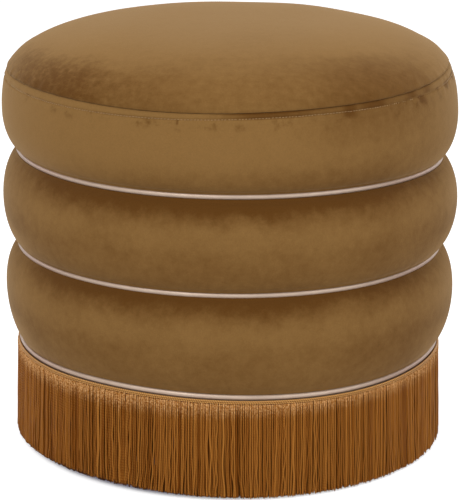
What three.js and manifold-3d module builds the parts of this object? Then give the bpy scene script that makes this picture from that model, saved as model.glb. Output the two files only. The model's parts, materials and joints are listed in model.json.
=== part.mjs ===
// A round tuffet: a plywood drum in three padded velvet tiers, piped at each waist, under a crowned seat.
// A cord fringe hangs from the lowest piping and hides four turned feet on plastic glides.
// Millimetres, +Z up, the floor at z = 0, the axis of the drum at x = y = 0, the front towards -Y.

import * as THREE from 'three';
import { mergeVertices } from 'three/addons/utils/BufferGeometryUtils.js';
import Module from 'manifold-3d';

const wasm = await Module();
wasm.setup();

// Driving dimensions of the covered shape
const tierRadius = 224;
const bottomTierHeight = 96.4;
const middleTierHeight = 91.9;
const tierSwell = 22.5;
const lowestPipingHeight = 100.5;
const topBandHeight = 80.7;
const topBandSwellHeight = 40;
const seamInset = 8.7;
const crownRise = 48.5;
const crownFlatness = 3.2;
const crownFullness = 1.7;

// Joints between pieces
const clearance = 0.3;
const overrun = 5;

// Velvet cover
const velvetThickness = 1.2;
const seamAllowance = 10;
const hemDepth = 17;

// Piping
const pipingDiameter = 5;
const pipingStandout = 6.3;
const pipingSkin = 0.8;
const pipingFlangeWidth = 14;
const pipingFlangeThickness = 1.2;
const beadShoulder = 65 * Math.PI / 180;

// Pull tape and tack strip
const tapeThickness = 1;
const tapeTail = 16;
const tackStripWidth = 12;

// Fringe
const fringeFloorGap = 4;
const headingHeight = 12.5;
const headingThickness = 3.6;
const strandsPerFacet = 12;
const strandSides = 3;
const strandTopRadius = 1.25;
const strandEndRadius = 1.45;
const strandRoot = 4;
const strandSplay = 3;

// Drum
const waistPadding = 15.5;
const drumWallThickness = 3;
const drumWallSlit = 2;
const baseBoardThickness = 18;
const seatBoardThickness = 15;
const seatBoardDepth = 19.5;
const hoopThickness = 15;
const hoopWidth = 30;
const hoopDrop = 3;
const postWidth = 45;
const postDepth = 20;

// Padding
const waddingThickness = 8;

// Feet and fixings
const footInset = 63.5;
const footTopDiameter = 50;
const footEndDiameter = 36;
const footCollar = 12;
const glideDiameter = 24;
const glideThickness = 4.7;
const glideRim = 1.2;
const nailDiameter = 3;
const nailLength = 14;
const boltDiameter = 8;
const boltInFoot = 30;
const teeNutFlangeDiameter = 22;
const teeNutFlangeThickness = 1.5;
const teeNutBarrelDiameter = 11;
const teeNutBarrelLength = 12;
const screwDiameter = 4.5;
const screwHeadDiameter = 9;
const screwHeadDepth = 3;
const screwLength = 50;
const screwPoint = 4;
const dustCoverThickness = 0.5;
const dustCoverMargin = 8;

// Counts
const ringSides = 28;
const swellSteps = 6;
const liningSteps = 4;
const topBandSteps = 3;
const crownSteps = 7;
const crownLiningSteps = 4;
const beadSides = 5;
const coreSides = 4;
const footSides = 8;
const fixingSides = 6;
const quarters = 4;
const bisections = 40;

// Heights of the joints, from the floor up
const middlePipingHeight = lowestPipingHeight + bottomTierHeight;
const upperPipingHeight = middlePipingHeight + middleTierHeight;
const seamHeight = upperPipingHeight + topBandHeight;
const pipingRadius = pipingDiameter / 2;
const baseBoardTop = lowestPipingHeight - pipingRadius;
const baseBoardBottom = baseBoardTop - baseBoardThickness;
const dustCoverBottom = baseBoardBottom - clearance - dustCoverThickness;
const footTop = dustCoverBottom - clearance;
const footEnd = glideThickness + clearance;
const seatBoardTop = seamHeight - seatBoardDepth;
const seatBoardBottom = seatBoardTop - seatBoardThickness;

// Radii of the layers, from the cover inwards
const seamRadius = tierRadius - seamInset;
const grooveRadius = tierRadius - tierSwell;
const pipingRingRadius = grooveRadius + pipingStandout;
const drumRadius = grooveRadius - waistPadding;
const liningInset = velvetThickness + clearance;
const lipRise = pipingFlangeThickness / 2 + clearance;
const lipInnerRadius = pipingRingRadius - pipingFlangeWidth;
const hemOuterRadius = pipingRingRadius - pipingRadius - clearance;
const hemInnerRadius = hemOuterRadius - velvetThickness;
const baseBoardRadius = hemInnerRadius - clearance;
const footCircleRadius = baseBoardRadius - footInset;
const headingInnerRadius = pipingRingRadius + pipingFlangeThickness / 2 + clearance;
const strandRingRadius = headingInnerRadius + (headingThickness - strandTopRadius / 2) / 2;
const drumBoreRadius = drumRadius - drumWallThickness;
const innerFitRadius = drumBoreRadius - clearance;

const materials = {
  velvet: new THREE.MeshStandardMaterial({ color: 0x86602f, roughness: 0.9, metalness: 0 }),
  leatherette: new THREE.MeshStandardMaterial({ color: 0xc7a997, roughness: 0.35, metalness: 0.5 }),
  cord: new THREE.MeshStandardMaterial({ color: 0xefe8d6, roughness: 0.9, metalness: 0 }),
  fringe: new THREE.MeshStandardMaterial({ color: 0x8f5c22, roughness: 0.8, metalness: 0 }),
  calico: new THREE.MeshStandardMaterial({ color: 0xe2d6bb, roughness: 0.95, metalness: 0 }),
  card: new THREE.MeshStandardMaterial({ color: 0xb39467, roughness: 0.9, metalness: 0 }),
  cambric: new THREE.MeshStandardMaterial({ color: 0x2b2a2c, roughness: 0.95, metalness: 0 }),
  foam: new THREE.MeshStandardMaterial({ color: 0xe9ddb9, roughness: 1, metalness: 0 }),
  wadding: new THREE.MeshStandardMaterial({ color: 0xf2f1ec, roughness: 1, metalness: 0 }),
  plywood: new THREE.MeshStandardMaterial({ color: 0xcaa873, roughness: 0.75, metalness: 0 }),
  hardboard: new THREE.MeshStandardMaterial({ color: 0x7b5535, roughness: 0.8, metalness: 0 }),
  hardwood: new THREE.MeshStandardMaterial({ color: 0x4a2f1c, roughness: 0.5, metalness: 0 }),
  plastic: new THREE.MeshStandardMaterial({ color: 0x2f2c2a, roughness: 0.5, metalness: 0 }),
  steel: new THREE.MeshStandardMaterial({ color: 0xb9bcc0, roughness: 0.35, metalness: 0.9 }),
};

const tuffet = new THREE.Group();

// Geometry helpers

function point(radius, height) {
  return new THREE.Vector2(radius, height);
}

// A closed outline of radius and height is turned round the Z axis.
function turned(outline, sides = ringSides) {
  const points = THREE.ShapeUtils.isClockWise(outline) ? [...outline].reverse() : [...outline];
  const onAxis = points.some((p) => p.x === 0);
  if (onAxis) {
    while (points[0].x !== 0 || points[points.length - 1].x !== 0) points.push(points.shift());
  } else {
    points.push(points[0].clone());
  }
  return new THREE.LatheGeometry(points, sides).rotateX(Math.PI / 2);
}

function block(width, depth, low, high) {
  return new THREE.BoxGeometry(width, depth, high - low).translate(0, 0, (low + high) / 2);
}

function toSolid(geometry) {
  const bare = geometry.clone();
  bare.deleteAttribute('normal');
  bare.deleteAttribute('uv');
  const merged = mergeVertices(bare);
  const corners = merged.index.array;
  const faces = [];
  for (let i = 0; i < corners.length; i += 3) {
    const [a, b, c] = [corners[i], corners[i + 1], corners[i + 2]];
    if (a !== b && b !== c && c !== a) faces.push(a, b, c);
  }
  const vertProperties = new Float32Array(merged.attributes.position.array);
  return new wasm.Manifold(new wasm.Mesh({ numProp: 3, vertProperties, triVerts: new Uint32Array(faces) }));
}

function toGeometry(solid) {
  const mesh = solid.getMesh();
  const geometry = new THREE.BufferGeometry();
  geometry.setAttribute('position', new THREE.BufferAttribute(mesh.vertProperties, 3));
  geometry.setIndex(new THREE.BufferAttribute(mesh.triVerts, 1));
  return geometry;
}

function cut(body, cutters) {
  const tools = wasm.Manifold.union(cutters.map(toSolid));
  return toGeometry(toSolid(body).subtract(tools));
}

function join(bodies) {
  return toGeometry(wasm.Manifold.union(bodies.map(toSolid)));
}

function turn(quarter, offsetShare = 0) {
  return (quarter + offsetShare) * 2 * Math.PI / quarters;
}

// Moves a piece built at the axis out to a radius at the front, and then round to its quarter.
function placed(geometry, radius, angle) {
  return geometry.translate(0, -radius, 0).rotateZ(angle);
}

function add(name, geometry, material) {
  const mesh = new THREE.Mesh(geometry, materials[material]);
  mesh.name = name;
  tuffet.add(mesh);
}

// Outlines of the padded shape: each takes an inset, which is 0 for the outside of the velvet

// How far from a waist a swelling side, drawn in by the inset, comes clear of the piping's bead.
function liftOff(halfHeight, inset) {
  const reach = pipingRadius + clearance + inset;
  let inside = lipRise + inset;
  let outside = halfHeight / 2;
  for (let i = 0; i < bisections; i += 1) {
    const height = (inside + outside) / 2;
    const share = (halfHeight - height) / (halfHeight - inset);
    const radius = grooveRadius + (tierSwell - inset) * Math.sqrt(1 - share * share);
    if (Math.hypot(radius - pipingRingRadius, height) < reach) inside = height;
    else outside = height;
  }
  return outside;
}

// Where velvet or foam passes the inner shoulder of a bead, over it (side 1) or under it (side -1).
function besideBead(waist, side, inset) {
  const reach = pipingRadius + clearance + inset;
  const radius = pipingRingRadius - reach * Math.cos(beadShoulder);
  return point(radius, waist + side * reach * Math.sin(beadShoulder));
}

function sideOfEllipse(middle, rise, inset, start, end, steps) {
  const reach = tierSwell - inset;
  const points = [];
  for (let i = 0; i <= steps; i += 1) {
    const angle = start + (end - start) * i / steps;
    points.push(point(grooveRadius + reach * Math.cos(angle), middle + rise * Math.sin(angle)));
  }
  return points;
}

// The top band swells like the tiers up to its widest line and then leans in to the seam.
function topBandRadius(height, inset) {
  const widest = upperPipingHeight + topBandSwellHeight;
  const share = (height - widest) / (seamHeight - widest);
  return tierRadius - inset - (tierRadius - seamRadius) * share * share;
}

function topBandSide(inset, to, steps) {
  const widest = upperPipingHeight + topBandSwellHeight;
  const rise = topBandSwellHeight - inset;
  const from = upperPipingHeight + liftOff(topBandSwellHeight, inset);
  const lower = sideOfEllipse(widest, rise, inset, Math.asin((from - widest) / rise), 0, steps);
  const upper = [];
  for (let i = 1; i <= steps; i += 1) {
    const height = widest + (to - widest) * i / steps;
    upper.push(point(topBandRadius(height, inset), height));
  }
  return [...lower, ...upper];
}

// The crown from the axis out to a radius, closer together towards its steep edge.
function crown(inset, outTo, steps) {
  const points = [];
  for (let i = 0; i <= steps; i += 1) {
    const radius = outTo * Math.sin(i / steps * Math.PI / 2);
    const share = (radius / (seamRadius - inset)) ** crownFlatness;
    const height = (crownRise - inset) * (1 - share) ** (1 / crownFullness);
    points.push(point(radius, seamHeight + height));
  }
  return points;
}

// Velvet

function coverTopLip(ceiling) {
  return [
    besideBead(ceiling, -1, 0),
    point(lipInnerRadius, ceiling - lipRise),
    point(lipInnerRadius, ceiling - lipRise - velvetThickness),
    besideBead(ceiling, -1, velvetThickness),
  ];
}

function coverBottomLip(floor) {
  return [
    besideBead(floor, 1, velvetThickness),
    point(lipInnerRadius, floor + lipRise + velvetThickness),
    point(lipInnerRadius, floor + lipRise),
    besideBead(floor, 1, 0),
  ];
}

// A tier's side between the pipings at floor and ceiling, from bead to bead.
function freeSwell(floor, ceiling, inset, steps) {
  const half = (ceiling - floor) / 2;
  const rise = half - inset;
  const end = Math.asin((half - liftOff(half, inset)) / rise);
  return sideOfEllipse(floor + half, rise, inset, -end, end, steps);
}

function middleBandCover() {
  return turned([
    ...freeSwell(middlePipingHeight, upperPipingHeight, 0, swellSteps),
    ...coverTopLip(upperPipingHeight),
    ...freeSwell(middlePipingHeight, upperPipingHeight, velvetThickness, liningSteps).reverse(),
    ...coverBottomLip(middlePipingHeight),
  ]);
}

// The bottom band passes behind the lowest bead and down to its hem.
function bottomBandCover() {
  const floor = lowestPipingHeight;
  const hemEdge = baseBoardTop - hemDepth;
  const hemTop = floor + pipingRadius / 2;
  return turned([
    point(hemOuterRadius, hemEdge),
    point(hemOuterRadius, hemTop),
    besideBead(floor, 1, 0),
    ...freeSwell(floor, middlePipingHeight, 0, swellSteps),
    ...coverTopLip(middlePipingHeight),
    ...freeSwell(floor, middlePipingHeight, velvetThickness, liningSteps).reverse(),
    besideBead(floor, 1, velvetThickness),
    point(hemInnerRadius, hemTop),
    point(hemInnerRadius, hemEdge),
  ]);
}

function topBandCover() {
  return turned([
    ...topBandSide(0, seamHeight, topBandSteps),
    ...topBandSide(velvetThickness, seamHeight, topBandSteps).reverse(),
    ...coverBottomLip(upperPipingHeight),
  ]);
}

// The seat cover's seam allowance is turned down behind the top band.
function seatCover() {
  const turnedEdge = seamHeight - seamAllowance;
  const outerFit = liningInset;
  const innerFit = outerFit + velvetThickness;
  const shoulder = seamRadius - innerFit;
  return turned([
    ...crown(0, seamRadius, crownSteps).map((p) => point(p.x, p.y + clearance)),
    point(topBandRadius(seamHeight, outerFit), seamHeight + clearance),
    point(topBandRadius(turnedEdge, outerFit), turnedEdge),
    point(topBandRadius(turnedEdge, innerFit), turnedEdge),
    ...crown(velvetThickness, shoulder, crownLiningSteps).reverse(),
  ]);
}

// Padding

function waddingRadius() {
  return seamRadius - liningInset - liningInset;
}

function seatWadding() {
  const outer = waddingRadius();
  const inner = outer - waddingThickness;
  return turned([
    ...crown(liningInset, outer, crownLiningSteps),
    point(outer, seamHeight),
    point(inner, seamHeight),
    ...crown(liningInset + waddingThickness, inner, crownLiningSteps).reverse(),
  ]);
}

function seatFoam() {
  const floor = seatBoardTop + clearance;
  const ledge = seamHeight - seamAllowance - clearance;
  const shoulder = seamHeight - clearance;
  const core = waddingRadius() - waddingThickness - clearance;
  const insideCover = liningInset + liningInset;
  return turned([
    point(0, floor),
    point(topBandRadius(floor, liningInset), floor),
    point(topBandRadius(ledge, liningInset), ledge),
    point(topBandRadius(ledge, insideCover), ledge),
    point(topBandRadius(shoulder, insideCover), shoulder),
    point(core, shoulder),
    ...crown(liningInset + waddingThickness + clearance, core, crownLiningSteps).reverse(),
  ]);
}

// The foam of a tier stands off the drum where a pull tape's tail runs down behind it.
function foamAgainstDrum(floor, ceiling, hasTape) {
  const inner = drumRadius + clearance;
  const behindTape = inner + tapeThickness + clearance;
  const tapeEnd = ceiling - tapeTail - clearance;
  const top = ceiling - foamRise();
  if (!hasTape) return [point(inner, ceiling), point(inner, floor)];
  return [point(behindTape, top), point(behindTape, tapeEnd), point(inner, tapeEnd), point(inner, floor)];
}

function foamRise() {
  return lipRise + velvetThickness + clearance;
}

function bottomTierFoam() {
  const foot = baseBoardTop + clearance;
  return turned([
    point(baseBoardRadius, foot),
    point(baseBoardRadius, lowestPipingHeight + pipingRadius / 2),
    besideBead(lowestPipingHeight, 1, liningInset),
    ...freeSwell(lowestPipingHeight, middlePipingHeight, liningInset, liningSteps),
    ...foamAgainstDrum(foot, middlePipingHeight, true),
  ]);
}

function middleTierFoam() {
  return turned([
    ...freeSwell(middlePipingHeight, upperPipingHeight, liningInset, liningSteps),
    ...foamAgainstDrum(middlePipingHeight + foamRise(), upperPipingHeight, true),
  ]);
}

function topTierFoam() {
  return turned([
    ...topBandSide(liningInset, seatBoardTop, topBandSteps),
    ...foamAgainstDrum(upperPipingHeight + foamRise(), seatBoardTop, false),
  ]);
}

// Piping

function arcAround(centre, radius, start, end, steps) {
  const points = [];
  for (let i = 0; i <= steps; i += 1) {
    const angle = start + (end - start) * i / steps;
    points.push(point(centre.x + radius * Math.cos(angle), centre.y + radius * Math.sin(angle)));
  }
  return points;
}

// A keyhole section: the skin goes round the cord and its two edges lie together as a flange,
// which leaves the cord in the given direction.
function pipingSkinOutline(centre, direction) {
  const half = pipingFlangeThickness / 2;
  const slit = clearance / 2;
  const bore = pipingRadius - pipingSkin;
  const outerGap = Math.asin(half / pipingRadius);
  const innerGap = Math.asin(slit / bore);
  const along = new THREE.Vector2(Math.cos(direction), Math.sin(direction));
  const across = new THREE.Vector2(-along.y, along.x);
  const flangeEnd = centre.clone().addScaledVector(along, pipingFlangeWidth);
  const flangeCorner = (side) => flangeEnd.clone().addScaledVector(across, side);
  const turnOnce = 2 * Math.PI;
  return [
    flangeCorner(half),
    ...arcAround(centre, pipingRadius, direction + outerGap, direction + turnOnce - outerGap, beadSides),
    flangeCorner(-half),
    flangeCorner(-slit),
    ...arcAround(centre, bore, direction + turnOnce - innerGap, direction + innerGap, coreSides),
    flangeCorner(slit),
  ];
}

function pipingSkinRing(height, direction) {
  return turned(pipingSkinOutline(point(pipingRingRadius, height), direction));
}

function pipingCord(height) {
  const radius = (pipingRadius - pipingSkin - clearance) * Math.cos(Math.PI / coreSides);
  const step = 2 * Math.PI / coreSides;
  return turned(arcAround(point(pipingRingRadius, height), radius, 0, 2 * Math.PI - step, coreSides - 1));
}

// Calico tape sewn to the piping's flange and stapled down the drum.
function pullTape(height) {
  const inner = drumRadius + clearance;
  const half = tapeThickness / 2;
  const outer = lipInnerRadius - clearance;
  return turned([
    point(inner, height + half),
    point(inner, height - tapeTail),
    point(inner + tapeThickness, height - tapeTail),
    point(inner + tapeThickness, height - half),
    point(outer, height - half),
    point(outer, height + half),
  ]);
}

function hoopOutline(inner, outer, low, high) {
  return [point(inner, low), point(outer, low), point(outer, high), point(inner, high)];
}

// Card strip that fills the space between the hem and the lowest piping's flange.
function tackStrip() {
  const top = baseBoardTop - clearance;
  const inner = hemOuterRadius + clearance;
  const outer = pipingRingRadius - pipingFlangeThickness / 2 - clearance;
  return turned(hoopOutline(inner, outer, top - tackStripWidth, top));
}

// Fringe

// One strand of the cord fringe, hung under a flat of the heading, counted from the front.
function strand(facet, index, top) {
  const length = top - fringeFloorGap;
  const facetAngle = 2 * Math.PI / ringSides;
  const facetRadius = strandRingRadius * Math.cos(facetAngle / 2);
  const facetWidth = 2 * strandRingRadius * Math.sin(facetAngle / 2);
  const place = facetWidth * ((index + 1 / 2) / strandsPerFacet - 1 / 2);
  const lean = Math.asin(strandSplay / length);
  const rod = new THREE.CylinderGeometry(strandTopRadius, strandEndRadius, length, strandSides);
  const hung = rod.rotateX(Math.PI / 2 - lean).translate(place, 0, fringeFloorGap + length / 2);
  return placed(hung, facetRadius + strandSplay / 2, facetAngle * (facet + 1 / 2));
}

function headingArc(low, high) {
  const outer = headingInnerRadius + headingThickness;
  const ring = turned(hoopOutline(headingInnerRadius, outer, low, high));
  const reach = 2 * outer;
  const corner = block(reach, reach, low - overrun, high + overrun).translate(outer, -outer, 0);
  return toGeometry(toSolid(ring).intersect(toSolid(corner)));
}

// A quarter of the heading, from the front round to +X, with the strands fused to it.
function fringeQuarter(quarter) {
  const top = lowestPipingHeight - pipingRadius - clearance;
  const low = top - headingHeight;
  const strands = [];
  for (let facet = 0; facet < ringSides / quarters; facet += 1) {
    for (let index = 0; index < strandsPerFacet; index += 1) {
      strands.push(strand(facet, index, low + strandRoot));
    }
  }
  return join([headingArc(low, top), ...strands]).rotateZ(turn(quarter));
}

// Fixings, each as a turned outline that the holes for it follow with a clearance

function screwOutline(headHeight, direction, gap) {
  const at = (radius, along) => point(radius, headHeight + direction * along);
  const slope = gap * screwHeadDepth / (screwHeadDiameter - screwDiameter);
  return [
    at(0, -gap),
    at(screwHeadDiameter / 2 + gap, -gap),
    at(screwHeadDiameter / 2 + gap, 0),
    at(screwDiameter / 2 + gap, screwHeadDepth + slope),
    at(screwDiameter / 2 + gap, screwLength - screwPoint),
    at(0, screwLength + gap),
  ].filter((p, i) => gap > 0 || i !== 2);
}

function screwAt(headHeight, direction, gap, quarter) {
  const screw = turned(screwOutline(headHeight, direction, gap), fixingSides);
  return placed(screw, postCentreRadius(), turn(quarter));
}

function boltOutline(gap) {
  const radius = boltDiameter / 2 + gap;
  const top = baseBoardTop + clearance + teeNutFlangeThickness;
  const bottom = footTop - boltInFoot - gap;
  return [point(0, bottom), point(radius, bottom), point(radius, top + gap), point(0, top + gap)];
}

function boltAt(gap, quarter) {
  return placed(turned(boltOutline(gap), fixingSides), footCircleRadius, turn(quarter, 1 / 2));
}

function teeNut(quarter) {
  const bore = boltDiameter / 2 + clearance;
  const seat = baseBoardTop + clearance;
  const outline = [
    point(bore, seat - teeNutBarrelLength),
    point(teeNutBarrelDiameter / 2, seat - teeNutBarrelLength),
    point(teeNutBarrelDiameter / 2, seat),
    point(teeNutFlangeDiameter / 2, seat),
    point(teeNutFlangeDiameter / 2, seat + teeNutFlangeThickness),
    point(bore, seat + teeNutFlangeThickness),
  ];
  return placed(turned(outline, fixingSides), footCircleRadius, turn(quarter, 1 / 2));
}

function teeNutHole(quarter) {
  const radius = teeNutBarrelDiameter / 2 + clearance;
  const hole = turned([
    point(0, baseBoardBottom - overrun),
    point(radius, baseBoardBottom - overrun),
    point(radius, baseBoardTop + overrun),
    point(0, baseBoardTop + overrun),
  ], fixingSides);
  return placed(hole, footCircleRadius, turn(quarter, 1 / 2));
}

// A nail-on glide: a plastic button with its nail, or the pilot hole for that nail.
function nailOutline(gap) {
  const radius = nailDiameter / 2 + gap;
  const tip = footEnd + nailLength;
  return [
    point(0, glideThickness),
    point(radius, glideThickness),
    point(radius, tip - nailDiameter),
    point(0, tip + gap),
  ];
}

function glide(quarter) {
  const [, shankStart, shankEnd, tip] = nailOutline(0);
  const outline = [
    point(0, 0),
    point(glideDiameter / 2 - glideRim, 0),
    point(glideDiameter / 2, glideRim),
    point(glideDiameter / 2, glideThickness),
    shankStart,
    shankEnd,
    tip,
  ];
  return placed(turned(outline, footSides), footCircleRadius, turn(quarter, 1 / 2));
}

function foot(quarter) {
  const body = turned([
    point(0, footEnd),
    point(footEndDiameter / 2, footEnd),
    point(footTopDiameter / 2, footTop - footCollar),
    point(footTopDiameter / 2, footTop),
    point(0, footTop),
  ], footSides);
  const nailHole = turned(nailOutline(clearance), fixingSides);
  const shaped = cut(body, [nailHole, turned(boltOutline(clearance), fixingSides)]);
  return placed(shaped, footCircleRadius, turn(quarter, 1 / 2));
}

// Drum

function eachQuarter(make) {
  return Array.from({ length: quarters }, (_, quarter) => make(quarter));
}

function disc(radius, low, high) {
  return turned([point(0, low), point(radius, low), point(radius, high), point(0, high)]);
}

function baseBoard() {
  const board = disc(baseBoardRadius, baseBoardBottom, baseBoardTop);
  const screwHoles = eachQuarter((quarter) => screwAt(baseBoardBottom, 1, clearance, quarter));
  return cut(board, [...eachQuarter(teeNutHole), ...screwHoles]);
}

function seatBoard() {
  const board = disc(innerFitRadius, seatBoardBottom, seatBoardTop);
  return cut(board, eachQuarter((quarter) => screwAt(seatBoardTop, -1, clearance, quarter)));
}

function post(quarter) {
  const blank = block(postWidth, postDepth, baseBoardTop + clearance, seatBoardBottom - clearance);
  const upright = placed(blank, postCentreRadius(), turn(quarter));
  return cut(upright, [
    screwAt(baseBoardBottom, 1, clearance, quarter),
    screwAt(seatBoardTop, -1, clearance, quarter),
  ]);
}

// The posts stand inside the flats of the faceted drum wall.
function postCentreRadius() {
  const flatRadius = innerFitRadius * Math.cos(Math.PI / ringSides);
  return Math.sqrt(flatRadius ** 2 - (postWidth / 2) ** 2) - postDepth / 2;
}

function hoop(low) {
  const high = low + hoopThickness;
  const ring = turned(hoopOutline(innerFitRadius - hoopWidth, innerFitRadius, low, high));
  const notch = (quarter) => placed(
    block(postWidth + 2 * clearance, hoopWidth, low - overrun, high + overrun),
    postCentreRadius() - postDepth / 2 - clearance + hoopWidth / 2,
    turn(quarter),
  );
  return cut(ring, eachQuarter(notch));
}

// The wall is one sheet rolled round the boards, with a slit left where its ends meet at the back.
function drumWall() {
  const low = baseBoardTop + clearance;
  const wall = turned(hoopOutline(drumBoreRadius, drumRadius, low, seatBoardTop));
  const slit = block(drumWallSlit, hoopWidth, low - overrun, seatBoardTop + overrun);
  return cut(wall, [placed(slit, drumRadius, Math.PI)]);
}

function dustCover() {
  const dustCoverTop = dustCoverBottom + dustCoverThickness;
  const cloth = disc(baseBoardRadius - dustCoverMargin, dustCoverBottom, dustCoverTop);
  return cut(cloth, eachQuarter((quarter) => boltAt(clearance, quarter)));
}

// The assembly, from the floor up and from the inside out

for (let quarter = 0; quarter < quarters; quarter += 1) {
  const number = quarter + 1;
  add(`glide_${number}`, glide(quarter), 'plastic');
  add(`foot_${number}`, foot(quarter), 'hardwood');
  add(`hanger_bolt_${number}`, boltAt(0, quarter), 'steel');
  add(`tee_nut_${number}`, teeNut(quarter), 'steel');
  add(`drum_post_${number}`, post(quarter), 'plywood');
  add(`base_screw_${number}`, screwAt(baseBoardBottom, 1, 0, quarter), 'steel');
  add(`seat_screw_${number}`, screwAt(seatBoardTop, -1, 0, quarter), 'steel');
  add(`fringe_${number}`, fringeQuarter(quarter), 'fringe');
}

add('dust_cover', dustCover(), 'cambric');
add('base_board', baseBoard(), 'plywood');
add('drum_hoop_bottom', hoop(baseBoardTop + clearance), 'plywood');
add('drum_hoop_middle', hoop(middlePipingHeight - hoopDrop - hoopThickness), 'plywood');
add('drum_hoop_upper', hoop(upperPipingHeight - hoopDrop - hoopThickness), 'plywood');
add('drum_wall', drumWall(), 'hardboard');
add('seat_board', seatBoard(), 'plywood');

add('bottom_tier_foam', bottomTierFoam(), 'foam');
add('middle_tier_foam', middleTierFoam(), 'foam');
add('top_tier_foam', topTierFoam(), 'foam');
add('seat_foam', seatFoam(), 'foam');
add('seat_wadding', seatWadding(), 'wadding');

add('lower_pull_tape', pullTape(middlePipingHeight), 'calico');
add('upper_pull_tape', pullTape(upperPipingHeight), 'calico');
add('tack_strip', tackStrip(), 'card');

add('lowest_piping_skin', pipingSkinRing(lowestPipingHeight, -Math.PI / 2), 'leatherette');
add('middle_piping_skin', pipingSkinRing(middlePipingHeight, Math.PI), 'leatherette');
add('upper_piping_skin', pipingSkinRing(upperPipingHeight, Math.PI), 'leatherette');
add('lowest_piping_cord', pipingCord(lowestPipingHeight), 'cord');
add('middle_piping_cord', pipingCord(middlePipingHeight), 'cord');
add('upper_piping_cord', pipingCord(upperPipingHeight), 'cord');

add('bottom_band_cover', bottomBandCover(), 'velvet');
add('middle_band_cover', middleBandCover(), 'velvet');
add('top_band_cover', topBandCover(), 'velvet');
add('seat_cover', seatCover(), 'velvet');

export default tuffet;
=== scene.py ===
import json
import math

import bpy
import numpy as np
from mathutils import Matrix, Vector


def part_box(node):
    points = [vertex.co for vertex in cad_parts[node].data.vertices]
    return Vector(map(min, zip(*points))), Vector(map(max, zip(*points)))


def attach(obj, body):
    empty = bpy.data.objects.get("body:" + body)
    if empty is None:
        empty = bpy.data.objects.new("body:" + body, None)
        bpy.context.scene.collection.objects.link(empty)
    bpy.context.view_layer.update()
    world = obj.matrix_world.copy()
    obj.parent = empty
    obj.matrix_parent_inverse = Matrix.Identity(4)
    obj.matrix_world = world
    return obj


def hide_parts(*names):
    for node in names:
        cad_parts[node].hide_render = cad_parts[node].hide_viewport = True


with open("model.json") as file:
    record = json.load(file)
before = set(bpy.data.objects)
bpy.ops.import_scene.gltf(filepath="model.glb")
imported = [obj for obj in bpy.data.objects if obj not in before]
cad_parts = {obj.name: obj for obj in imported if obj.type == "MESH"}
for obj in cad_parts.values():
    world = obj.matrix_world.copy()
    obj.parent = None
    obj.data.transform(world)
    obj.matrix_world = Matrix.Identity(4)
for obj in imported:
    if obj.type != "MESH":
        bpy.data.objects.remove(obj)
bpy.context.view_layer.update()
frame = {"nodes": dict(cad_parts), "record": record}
nodes = frame["nodes"]

# A round velvet tuffet, in metres, on the axis of the drum and with its front towards -Y.

MM = 0.001
TURN = 2 * math.pi

# Points round the tuffet, its feet, the lengths of its fringe and the staples of its dust cover
ROUND = 384
FEET = 4
QUARTERS = 4
STAPLES = 44

# Piping: a bead, and a flange that is sewn into the waist
BEAD_RADIUS = 2.5 * MM
FLANGE_HALF = 0.6 * MM
FLANGE_WIDTH = 14 * MM

# Sizes that the frame gives


def waist(cord):
    """Radius and height of the ring along which a piping's cord runs."""
    low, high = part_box(cord)
    return high.x - (high.z - low.z) / 2, (low.z + high.z) / 2


RING_RADIUS, LOWEST_WAIST = waist("lowest_piping_cord")
MIDDLE_WAIST = waist("middle_piping_cord")[1]
UPPER_WAIST = waist("upper_piping_cord")[1]
TIER_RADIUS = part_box("middle_band_cover")[1].x
SEAM_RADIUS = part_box("seat_cover")[1].x
SEAM_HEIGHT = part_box("top_band_cover")[1].z
CROWN_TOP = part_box("seat_cover")[1].z
HEM_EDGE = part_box("bottom_band_cover")[0].z
LIP_RADIUS = RING_RADIUS - FLANGE_WIDTH
HEADING_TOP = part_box("fringe_1")[1].z
FRINGE_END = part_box("fringe_1")[0].z

# Shape of the velvet, as the frame has it
TIER_SWELL = 22.5 * MM
WAIST_PADDING = 15.5 * MM
GROOVE_RADIUS = TIER_RADIUS - TIER_SWELL
DRUM_RADIUS = GROOVE_RADIUS - WAIST_PADDING
BASE_TOP = LOWEST_WAIST - BEAD_RADIUS
WIDEST = UPPER_WAIST + 40 * MM
CROWN_FLATNESS = 3.2
CROWN_FULLNESS = 1.7
VELVET_THICKNESS = 1.2 * MM
LIP_HEIGHT = 6.2 * MM
ALLOWANCE_GAP = 0.95 * MM
ALLOWANCE_STEP = 3.2 * MM
HEM_GAP = 2.8 * MM
TIER_SPACING = 3.4 * MM

# Gathers: how far from the joint, how deep and how wide
GATHER_AWAY = 5 * MM
GATHER_DEPTH = 0.25 * MM
GATHER_REACH = 6 * MM

# Top stitching
STITCH_DROP = 6.6 * MM
STITCH_PITCH = 3.0 * MM
STITCH_LINE = SEAM_HEIGHT - STITCH_DROP

# Fringe
HEADING_HEIGHT = 12.5 * MM
HEADING_RADIUS = RING_RADIUS + 4.5 * MM
STRAND_PITCH = 2.05 * MM
STRAND_RADIUS = 0.95 * MM
STRAND_TOP = HEADING_TOP - 2.9 * MM
STRAND_RINGS = 23
STRAND_SIDES = 6
GIMP_RADIUS = 0.95 * MM
LOWER_GIMP_RADIUS = 0.55 * MM
GIMP_SIDES = 14

# Rows of strands: name, how far outwards, how much they gather, size, offset in pitches and seed
ROWS = [("outer", 0.0, 1.0, 0.86, 0.2, 40), ("middle", -1.4 * MM, 0.6, 0.92, 0.7, 60),
        ("inner", -2.8 * MM, 0.0, 1.2, 0.45, 80)]

# Feet and glides, whose outlines stay just off their axis
AXIS_GAP = 0.2 * MM
FOOT_END_RADIUS = 18 * MM
FOOT_TOP_RADIUS = 25 * MM
FOOT_COLLAR = 12 * MM
GLIDE_RADIUS = 12 * MM
GLIDE_THICKNESS = 4.7 * MM
NAIL_RADIUS = 1.5 * MM

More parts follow.
